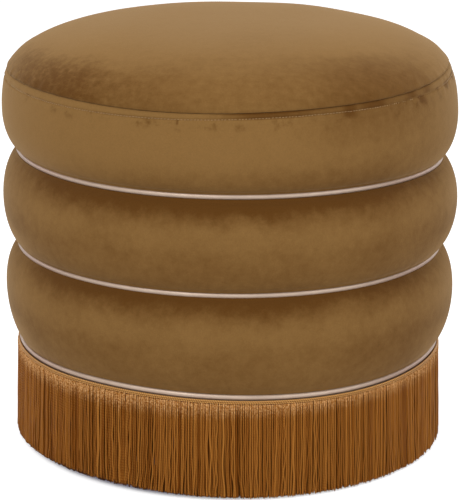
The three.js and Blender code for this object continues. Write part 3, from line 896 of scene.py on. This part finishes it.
def under_waist(waist_height, depth, front_dark, right_dark):
    """Painted shade on a tier: a painted shadow under the piping above it, painted shade towards the tier's
    bottom and in some sectors, and painted light at its sides near the waist below.
    """

    def shade(look, place):
        _, angle, height = around_axis(place)
        drop = waist_height - height + ragged(place, 24 * MM)
        fading = (1 - drop * (1 / (46 * MM))).clamped() ** 2
        # Painted shadow under the piping above, fading downwards and weaker to the sides.
        painted_shadow_under_piping = fading * (facing(angle, 35, 80) * 0.85 + 0.15) * depth
        front = sector(angle, 6, 12) * look.ramp(drop, 8 * MM, 26 * MM, front_dark, 0.0)
        right = sector(angle, 37, 14) * look.ramp(drop, 8 * MM, 40 * MM, right_dark, 0.0)
        # Painted shade towards the tier's bottom and in two sectors, painted light at its sides low down.
        low = look.ramp(drop, 26 * MM, 58 * MM, 0.0, 0.21)
        sides = beside(angle) * look.ramp(drop, 50 * MM, 78 * MM, 0.0, 0.4)
        turned_away = sectors(angle, [(55, 18, 0.07), (-75, 22, 0.1)])
        return painted_shadow_under_piping + front + right + low + turned_away - sides + 0.38

    return shade


def below_seam(angle, height):
    """How far a point of the top band lies below the swaying seam."""
    return sectors(angle, SEAM_SWAY) * MM + SEAM_HEIGHT - height


def top_band_shade(look, place):
    """Painted shade on the top band: darker towards its lower part, most in front, in a patch on the right,
    below the stitching and, in front, between it and the seam, with painted light at its sides near the
    waist.
    """
    _, angle, height = around_axis(place)
    fall = SEAM_HEIGHT - height
    # Painted shade lower down and on the right, painted light at the sides near the waist.
    low = look.ramp(fall, 38 * MM, 72 * MM, 0.0, 0.26) * (facing(angle, 25, 60) * 0.7 + 0.3)
    patch = sector(angle, 34, 24) * look.ramp(fall, 12 * MM, 60 * MM, 0.28, 0.10)
    painted_light = beside(angle) * look.ramp(fall, 54 * MM, 72 * MM, 0.0, 0.4)
    turned_away = sectors(angle, [(58, 24, 0.14), (-80, 28, -0.1)])
    pulled_in = along_seam(look, place, angle, below_seam(angle, height))
    return 0.28 + low + patch + turned_away - painted_light + pulled_in


def along_seam(look, place, angle, drop):
    """Painted shade along the seam: in patches below the stitching, in the seam's crease and the strip above
    the stitching in front, at small marks on the right, in a gather and at a tuck below the stitches.
    """
    patchy_painted_shade = look.ramp(look.noise(place, 15 * MM, 3.0, 0.6), 0.5, 0.72, 0.04, 0.42)
    below = look.ramp(drop, 9 * MM, 22 * MM, 1.0, 0.0) * look.ramp(drop, 5 * MM, 7 * MM)
    strip = look.ramp(drop, 4.5 * MM, 7 * MM, 1.0, 0.0)
    painted_crease_shade = look.ramp(drop, 0.5 * MM, 2.2 * MM, 1.0, 0.0)
    front = sector(angle, 9, 11) * (strip * 0.45 + painted_crease_shade * 0.3)
    right = sectors(angle, [(37, 3, 0.45), (50, 2, 0.3), (57, 2, 0.25)])
    painted_gather_shade = sector(angle, 29.5, 1.8) * look.ramp(drop, 8 * MM, 14 * MM, 0.3, 0.0)
    # Painted shade of a small tuck below the stitches.
    tuck = sector(angle, -12.2, 0.35) * look.ramp(drop, 5.6 * MM, 6.4 * MM)
    tuck = tuck * look.ramp(drop, 9 * MM, 11 * MM, 1.0, 0.0)
    return patchy_painted_shade * below + front + (right + 0.04) * strip + painted_gather_shade + tuck * 0.4


def seat_shade(look, place):
    """Painted shade on the seat: darkest at its steep front left edge, broken up by a brushed fur, darker
    towards the front, the middle and the right edge, with faint brushed streaks.
    """
    radius, angle, _ = around_axis(place)
    x, y, z = look.parts(place)
    shift = ragged(place, 30 * MM)
    edge = look.ramp(radius + shift, 135 * MM, 205 * MM)
    fur = look.noise(look.joined(x * 0.6 - y * 0.4, y * 0.6 + x * 0.4, z), 5 * MM, 3.0, 0.7)
    painted_edge_shade = look.ramp(radius + shift, 165 * MM, 214 * MM) * (fur * 0.9 + 0.15)
    left = sector(angle, -60, 32) * painted_edge_shade
    right = sector(angle, 55, 34) * 0.4
    front = look.ramp(y, -205 * MM, -60 * MM, 0.34, 0.0)
    streaks = (look.noise(look.joined(x * 0.22, y, z), 6 * MM, 3.0, 0.6) - 0.5) * 0.16
    middle = look.ramp(radius, 80 * MM, 165 * MM, 0.18, 0.0)
    return 0.15 + left + edge * right + front + middle + streaks


def thread():
    look = Look("stitching_thread", Sheen_Weight=0.2, Specular_IOR_Level=0.4)
    tint = look.noise(look.place(), 1.5 * MM)
    colour = look.mix(tint, (0.21, 0.115, 0.038), (0.42, 0.25, 0.10))
    return look.finish(colour, 0.45 + tint * 0.2, look.noise(look.place(), 0.4 * MM), 0.1 * MM)


def champagne():
    """Metallic leatherette over the piping cord."""
    look = Look("champagne_leatherette", Coat_Weight=0.15, Coat_Roughness=0.4)
    place = look.place()
    tone = look.noise(place, 12 * MM, 3.0)
    grain = look.cells(place, 0.9 * MM)
    _, angle, _ = around_axis(place)
    # Painted reflection and shade on the piping: darker to the front right and towards both sides.
    shaded = sector(angle, 45, 15) * 0.45
    pale = look.mix((tone + 0.1 - shaded).clamped(), (0.46, 0.34, 0.26), (0.62, 0.475, 0.37))
    painted_side_shade = sectors(angle, [(-62, 18, 0.75), (60, 18, 0.75)])
    look.feed("Metallic", 0.20 + tone * 0.2)
    colour = look.mix(painted_side_shade, pale, (0.30, 0.175, 0.125))
    return look.finish(colour, 0.30 + grain * 0.2, grain, 0.08 * MM)


def twisted(look, pitch, strands):
    """A wave from 0 to 1 that winds round an upright strand like the plies of a cord."""
    x, y, z = look.parts(look.place())
    normal = look.node("ShaderNodeNewGeometry", {}, {})["Normal"]
    out_x, out_y, _ = look.parts(normal)
    turn = look.sum("ARCTAN2", out_y, out_x) - look.sum("ARCTAN2", y, x)
    return look.wave(turn * strands + z * (TURN / pitch))


def rayon(name, painted_light=0.0, deep=(0.160, 0.040, 0.002)):
    """Silky twisted fringe cord, golden and red-brown, with a painted highlight on the loops at its top,
    painted shade at the front left, and a colour wave along its twist that paints shade in the grooves
    between its plies.
    """
    look = Look(name, Specular_IOR_Level=0.16)
    look.shader.inputs["Specular Tint"].default_value = (1.0, 0.55, 0.18, 1.0)
    tone = look.node("ShaderNodeAttribute", {"attribute_name": "tone"}, {})["Fac"]
    place = look.place()
    _, angle, height = around_axis(place)
    patch = look.noise(place, 14 * MM, 3.0)
    plies = twisted(look, 2.6 * MM, 2)
    speck = look.noise(place, 1.2 * MM, 2.0)
    uneven = tone * (1.5 * MM) + (speck - 0.5) * (9 * MM)
    loops = look.ramp(height + uneven, STRAND_TOP - 17 * MM, STRAND_TOP - 1 * MM)
    mixed = tone * 0.21 + (patch - 0.5) * 0.25 + (plies - 0.5) * 0.5 + (speck - 0.5) * 0.5
    # The row's shift darkens rows deeper in the fringe as painted shade, and the front left gets painted
    # shade.
    share = (0.53 + painted_light + mixed - sector(angle, -52, 22) * 0.13).clamped()
    hanging = look.mix(share, deep, (0.455, 0.180, 0.031))
    # Paler loops at the top: a painted highlight.
    painted_loop_highlight = look.mix(look.ramp(speck, 0.35, 0.65), (0.36, 0.130, 0.014), (0.79, 0.448, 0.19))
    colour = look.mix(loops * 0.85, hanging, painted_loop_highlight)
    return look.finish(colour, 0.45 + patch * 0.2, plies + speck * 0.5, 0.35 * MM)


def corded(name, turns, pitch, colours, dull, duller, depth, **constants):
    """A cord that runs round the tuffet, with its plies wound round it."""
    look = Look(name, **constants)
    _, angle, height = around_axis(look.place())
    plies = look.wave(angle * turns + height * (TURN / pitch))
    return look.finish(look.mix(plies, *colours), dull + plies * duller, plies, depth)


def gimp_thread():
    colours = (0.28, 0.105, 0.014), (0.74, 0.38, 0.10)
    return corded("fringe_gimp_cord", 620.0, 3.2 * MM, colours, 0.5, -0.1, 0.3 * MM, Specular_IOR_Level=0.4)


def heading_weave():
    look = Look("fringe_heading_weave", Specular_IOR_Level=0.3)
    _, angle, height = around_axis(look.place())
    warp = look.wave(angle * 900.0)
    weft = look.wave(height * (TURN / (1.3 * MM)))
    colour = look.mix(warp * weft, (0.12, 0.034, 0.005), (0.30, 0.13, 0.032))
    return look.finish(colour, 0.7 + warp * 0.1, warp * weft, 0.3 * MM)


def cloth(name, dark, pale, pitch, sheen=0.1):
    """A plain woven cloth."""
    look = Look(name, Sheen_Weight=sheen, Specular_IOR_Level=0.25)
    place = look.place()
    x, y, z = look.parts(place)
    one = look.wave((x + z) * (TURN / pitch))
    other = look.wave((y + z) * (TURN / pitch))
    slub = look.noise(place, 6 * MM, 3.0)
    colour = look.mix((one * other * 0.6 + slub * 0.5).clamped(), dark, pale)
    return look.finish(colour, 0.85 + slub * 0.1, one * other, 0.1 * MM)


def plywood():
    """Birch plywood: long grain on the faces and thin alternating plies at the edges."""
    look = Look("birch_plywood", Specular_IOR_Level=0.3)
    place = look.place()
    x, y, z = look.parts(place)
    grain = look.noise(look.joined(x * 0.12, y, z), 5 * MM, 5.0, 0.6)
    blotch = look.noise(place, 60 * MM, 2.0)
    face = look.mix((grain * 0.7 + blotch * 0.3).clamped(), (0.42, 0.26, 0.11), (0.70, 0.50, 0.27))
    normal = look.node("ShaderNodeNewGeometry", {}, {})["Normal"]
    _, _, up = look.parts(normal)
    ply = look.ramp(look.sum("SINE", z * (TURN / (3 * MM))), -0.2, 0.2)
    edge = look.mix(ply, (0.30, 0.17, 0.07), (0.60, 0.41, 0.21))
    colour = look.mix(look.ramp(look.sum("ABSOLUTE", up), 0.4, 0.6), edge, face)
    return look.finish(colour, 0.6 + grain * 0.2, grain, 0.15 * MM)


def fibrous(name, size, detail, rough, colours, dull, duller, depth, **constants):
    """A sheet or a fleece of matted fibres."""
    look = Look(name, **constants)
    fibre = look.noise(look.place(), size, detail, rough)
    return look.finish(look.mix(fibre, *colours), dull + fibre * duller, fibre, depth)


def hardboard():
    colours = (0.13, 0.055, 0.02), (0.29, 0.145, 0.065)
    return fibrous("hardboard_sheet", 2.5 * MM, 5.0, 0.7, colours, 0.65, 0.2, 0.1 * MM,
                   Specular_IOR_Level=0.3)


def foam():
    look = Look("upholstery_foam", Specular_IOR_Level=0.2)
    pores = look.cells(look.place(), 1.6 * MM)
    tone = look.noise(look.place(), 40 * MM, 2.0)
    colour = look.mix((pores + (tone - 0.5) * 0.4).clamped(), (0.55, 0.44, 0.23), (0.86, 0.78, 0.55))
    return look.finish(colour, 0.9 + tone * 0.08, pores, 0.5 * MM)


def wadding():
    colours = (0.72, 0.71, 0.68), (0.92, 0.91, 0.89)
    return fibrous("polyester_wadding", 3 * MM, 6.0, 0.75, colours, 0.9, 0.08, 0.8 * MM,
                   Sheen_Weight=0.3, Specular_IOR_Level=0.2)


def card():
    colours = (0.34, 0.21, 0.09), (0.56, 0.40, 0.21)
    return fibrous("tack_strip_card", 1.8 * MM, 4.0, 0.7, colours, 0.8, 0.15, 0.06 * MM,
                   Specular_IOR_Level=0.25)


def cotton_cord():
    colours = (0.62, 0.55, 0.42), (0.90, 0.85, 0.74)
    return corded("piping_cotton", 330.0, 4 * MM, colours, 0.85, 0.1, 0.4 * MM,
                  Sheen_Weight=0.2, Specular_IOR_Level=0.2)


def walnut():
    """Dark stained hardwood of the feet, with rings that show at their taper."""
    look = Look("stained_hardwood", Coat_Weight=0.2, Coat_Roughness=0.25)
    place = look.place()
    x, y, z = look.parts(place)
    grain = look.noise(look.joined(x, y, z * 0.08), 3 * MM, 5.0, 0.6)
    figure = look.noise(look.joined(x, y, z * 0.2), 14 * MM, 2.0)
    colour = look.mix((grain * 0.6 + figure * 0.4).clamped(), (0.028, 0.011, 0.005), (0.135, 0.058, 0.024))
    return look.finish(colour, 0.38 + grain * 0.2, grain, 0.08 * MM)


def glide_plastic():
    look = Look("glide_plastic", Specular_IOR_Level=0.45)
    haze = look.noise(look.place(), 5 * MM, 3.0)
    scuff = look.noise(look.place(), 0.7 * MM, 2.0)
    colour = look.mix(haze, (0.020, 0.018, 0.017), (0.045, 0.041, 0.038))
    return look.finish(colour, 0.42 + haze * 0.15 + scuff * 0.1, scuff, 0.05 * MM)


def steel():
    look = Look("zinc_plated_steel")
    place = look.place()
    x, y, z = look.parts(place)
    brushed = look.noise(look.joined(x * 0.3, y * 0.3, z), 0.8 * MM, 3.0)
    stain = look.noise(place, 4 * MM, 3.0)
    look.feed("Metallic", 0.85 + stain * 0.15)
    colour = look.mix(stain, (0.40, 0.42, 0.45), (0.60, 0.61, 0.62))
    return look.finish(colour, 0.28 + brushed * 0.2, brushed, 0.04 * MM)


# The tuffet


def upholster():
    """The velvet, its stitching and the pipings."""
    middle = velvet_shell("middle_tier_velvet", middle_profile(), TIER_SPACING, 101,
                          band_gathers(MIDDLE_WAIST, UPPER_WAIST))
    bottom = velvet_shell("bottom_tier_velvet", bottom_profile(), TIER_SPACING, 202,
                          band_gathers(LOWEST_WAIST, MIDDLE_WAIST))
    gathers = [(UPPER_WAIST + GATHER_AWAY, GATHER_DEPTH, GATHER_REACH),
               (STITCH_LINE, 0.3 * MM, GATHER_REACH)]
    top = velvet_shell("top_tier_velvet", top_band_profile(), 3.0 * MM, 303, gathers, stitched_in)
    seat = seat_shell()
    dress(seat, velvet("seat_velvet", seat_shade, joined=False), "velvet", "seat_cover")
    dress(top, velvet("top_band_velvet", top_band_shade), "velvet", "top_band_cover")
    under_middle = under_waist(MIDDLE_WAIST, 0.75, 0.03, -0.07)
    under_upper = under_waist(UPPER_WAIST, 0.88, 0.12, -0.08)
    dress(bottom, velvet("bottom_band_velvet", under_middle), "velvet", "bottom_band_cover")
    dress(middle, velvet("middle_band_velvet", under_upper), "velvet", "middle_band_cover")
    dress(top_stitches(), thread(), "velvet")
    skin = champagne()
    pipings = {"upper_piping": (UPPER_WAIST, UPPER_SWAY), "middle_piping": (MIDDLE_WAIST, MIDDLE_SWAY),
               "lowest_piping": (LOWEST_WAIST, LOWEST_SWAY)}
    for name, (height, bends) in pipings.items():
        outline = piping_outline(height, down=height == LOWEST_WAIST)
        dress(turned(name, outline, count=ROUND, bends=bends), skin, "leatherette", f"{name}_skin")


def hang_fringe():
    quarters = [f"fringe_{number}" for number in range(1, QUARTERS + 1)]
    outer = rayon("fringe_rayon")
    # Darker copies of the rayon for the middle and inner rows: painted shade deeper in the fringe.
    between = rayon("fringe_rayon_between", -0.18, (0.112, 0.026, 0.001))
    inner = rayon("fringe_rayon_inner", -0.5, (0.046, 0.009, 0.0005))
    thread_look = gimp_thread()
    heading_look = heading_weave()
    upper = gimp("fringe_gimp", RING_RADIUS + 2.9 * MM, 0.7 * MM, GIMP_RADIUS)
    lower = gimp("fringe_lower_gimp", RING_RADIUS + 3.5 * MM, 2.25 * MM, LOWER_GIMP_RADIUS)
    dress(upper, thread_look, "fringe", *quarters)
    dress(lower, thread_look, "fringe", *quarters)
    dress(heading(), heading_look, "fringe", *quarters)
    for number, node in enumerate(quarters):
        for (row, *form, seed), look in zip(ROWS, (outer, between, inner)):
            dress(strand_row(f"{node}_{row}_strands", number, *form, seed + number), look, "fringe", node)


def finish_underside(metal):
    wood, plastic = walnut(), glide_plastic()
    for number in range(1, FEET + 1):
        dress(foot(number), wood, "hardwood", f"foot_{number}")
        dress(glide(number), plastic, "plastic", f"glide_{number}")
    cambric = cloth("black_cambric", (0.012, 0.012, 0.013), (0.045, 0.044, 0.046), 0.9 * MM)
    dress(dust_cloth(), cambric, "cambric", "dust_cover")
    dress(staples(), metal, "steel")


def eased(node, move):
    """A copy of a hidden soft layer of the frame, moved like the velvet round it."""
    data = nodes[node].data.copy()
    points = np.empty(3 * len(data.vertices), np.float32)
    data.vertices.foreach_get("co", points)
    data.vertices.foreach_set("co", move(points.reshape(-1, 3)).ravel())
    return carried(f"{node}_eased", data)


def ease_soft_layers(looks):
    """Foam, wadding, cords and tapes follow the covers and pipings round them."""
    foams = ("bottom_tier_foam", "middle_tier_foam", "top_tier_foam", "seat_foam")
    layers = {**dict.fromkeys(foams, "foam"), "seat_wadding": "wadding"}
    rings = {"lowest_piping_cord": ("cord", LOWEST_SWAY), "middle_piping_cord": ("cord", MIDDLE_SWAY),
             "upper_piping_cord": ("cord", UPPER_SWAY), "tack_strip": ("card", LOWEST_SWAY)}
    tapes = dict.fromkeys(("lower_pull_tape", "upper_pull_tape"), "calico")
    for node, slot in layers.items():
        dress(eased(node, settled), looks[slot], slot, node)
    for node, (slot, bends) in rings.items():
        dress(eased(node, lambda points, bends=bends: lifted(points, bends)), looks[slot], slot, node)
    for node, slot in tapes.items():
        dress(eased(node, settled), looks[slot], slot, node)


def dress_hidden_nodes(metal):
    """The padding, the drum and the fixings inside the tuffet."""
    looks = {
        "plywood": plywood(),
        "hardboard": hardboard(),
        "foam": foam(),
        "wadding": wadding(),
        "card": card(),
        "cord": cotton_cord(),
        "calico": cloth("calico_tape", (0.60, 0.51, 0.34), (0.84, 0.77, 0.60), 0.8 * MM),
        "steel": metal,
    }
    ease_soft_layers(looks)
    slots = {part["node"]: part["material_slot"] for part in frame["record"]["subparts"]}
    for name, node in nodes.items():
        if slots[name] in looks:
            node.data.materials.clear()
            node.data.materials.append(looks[slots[name]].material)


# The floor, the light and the camera


def floor():
    """A pale floor that the camera sees as white, apart from a painted shadow inside the fringe: there its
    camera-only glow fades to a faint blue, so that the floor's own shade shows.
    """
    data = bpy.data.meshes.new("floor")
    data.from_pydata([(-9, -9, 0), (9, -9, 0), (9, 9, 0), (-9, 9, 0)], [], [(0, 1, 2, 3)])
    plane = placed("floor", data)
    look = Look("pale_floor", Base_Color=(0.80, 0.80, 0.81, 1), Roughness=1.0, Specular_IOR_Level=0.0)
    radius, _, _ = around_axis(look.place())
    # Painted shadow: the camera-only glow fades out under the tuffet.
    outside = look.ramp(radius, 199 * MM, 213 * MM)
    look.feed("Emission Color", look.mix(outside, (0.09, 0.08, 0.12), (0.60, 0.60, 0.60)))
    look.feed("Emission Strength", look.node("ShaderNodeLightPath", {}, {})["Is Camera Ray"])
    data.materials.append(look.material)


WORLD_LIGHT = 0.50

# Name, place and width in metres, and power in watts
LAMPS = [("key", (-0.9, -2.1, 2.1), 1.8, 32), ("fill", (2.0, -1.4, 1.2), 2.0, 13),
         ("top", (0.1, 0.5, 2.6), 2.0, 18), ("left_rim", (-2.2, 1.1, 0.7), 1.4, 7),
         ("right_rim", (2.2, 1.1, 0.7), 1.4, 7)]
LAMP_AIM = (0, 0, 0.22)


def studio():
    """A world that looks white and lights softly, and five large soft lamps."""
    world = bpy.data.worlds.new("studio")
    bpy.context.scene.world = world
    world.use_nodes = True
    tree = world.node_tree
    background = tree.nodes["Background"]
    background.inputs["Color"].default_value = (1, 1, 1, 1)
    ray = tree.nodes.new("ShaderNodeLightPath")
    seen = ray.outputs["Is Camera Ray"]
    for kind in ("Is Glossy Ray", "Is Transmission Ray"):
        either = tree.nodes.new("ShaderNodeMath")
        either.operation = "MAXIMUM"
        tree.links.new(seen, either.inputs[0])
        tree.links.new(ray.outputs[kind], either.inputs[1])
        seen = either.outputs[0]
    level = tree.nodes.new("ShaderNodeMapRange")
    level.inputs["To Min"].default_value = WORLD_LIGHT
    level.inputs["To Max"].default_value = 1.0
    tree.links.new(seen, level.inputs["Value"])
    tree.links.new(level.outputs[0], background.inputs["Strength"])
    for name, place, size, watts in LAMPS:
        lamp(name, place, size, watts)


def lamp(name, place, size, watts):
    data = bpy.data.lights.new(name, "AREA")
    data.shape = "DISK"
    data.size = size
    data.energy = watts
    light = placed(name, data)
    light.location = place
    aim = Vector(LAMP_AIM) - Vector(place)
    light.rotation_euler = aim.to_track_quat("-Z", "Y").to_euler()


# The camera as solved from the photograph, in pixels of its 460 by 500, in metres and in radians
SENSOR_SIZE = 36
FOCAL_PIXELS = 2072
FRAME_HEIGHT = 500
CAMERA_PLACE = (0.00095, -2.0, 0.738)
CAMERA_PITCH = math.radians(15.54)
CAMERA_ROLL = math.radians(0.45)


def camera():
    data = bpy.data.cameras.new("camera")
    data.sensor_width = SENSOR_SIZE
    data.lens = FOCAL_PIXELS / FRAME_HEIGHT * SENSOR_SIZE
    eye = placed("camera", data)
    turn = Matrix.Rotation(math.pi / 2 - CAMERA_PITCH, 4, "X") @ Matrix.Rotation(CAMERA_ROLL, 4, "Z")
    eye.matrix_world = Matrix.Translation(CAMERA_PLACE) @ turn
    bpy.context.scene.camera = eye


upholster()
hang_fringe()
zinc = steel()
finish_underside(zinc)
dress_hidden_nodes(zinc)
floor()
studio()
camera()
bpy.context.scene.view_settings.view_transform = "Standard"
